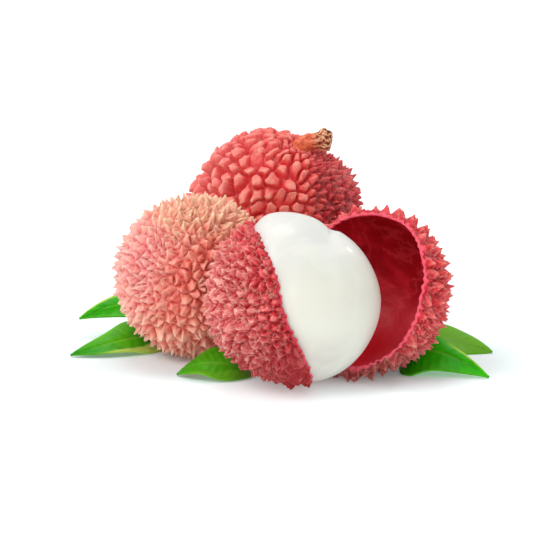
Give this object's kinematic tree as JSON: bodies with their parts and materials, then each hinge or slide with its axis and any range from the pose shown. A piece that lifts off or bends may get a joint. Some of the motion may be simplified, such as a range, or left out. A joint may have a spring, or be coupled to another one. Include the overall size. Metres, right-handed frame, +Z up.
{
  "type": "bunch of lychees",
  "caption": "Bunch of lychees: whole bumpy-skinned fruits, one opened to show its white flesh, its empty peel half, and pointed green leaves.",
  "frame": {"origin": "on the surface, at the resting spot under the middle of the opened fruit", "axes": "+Z up; +X to the right along the front of the bunch, from the opened fruit's peel to its flesh; +Y to the back"},
  "size_m": [0.088, 0.0884, 0.0437],
  "materials": {
    "pink_skin": "leathery, thickly set with small pointed tubercles, pink to orange",
    "red_skin": "leathery, with larger flat-topped tubercles, coral red",
    "peel_skin": "leathery and spiky outside, smooth deep red inside",
    "aril": "moist, translucent white",
    "stalk_bark": "dry, frayed bark",
    "leaf_green": "glossy leaf with a sunken midrib"
  },
  "bodies": {
    "root": {"lychee_left": "pink_skin", "lychee_back": "red_skin", "stalk_stub": "stalk_bark", "peel_half_held": "peel_skin", "flesh": "aril", "peel_half_empty": "peel_skin", "leaf_left_low": "leaf_green", "leaf_left_high": "leaf_green", "leaf_front": "leaf_green", "leaf_right_low": "leaf_green", "leaf_right_high": "leaf_green"}
  },
  "joints": []
}
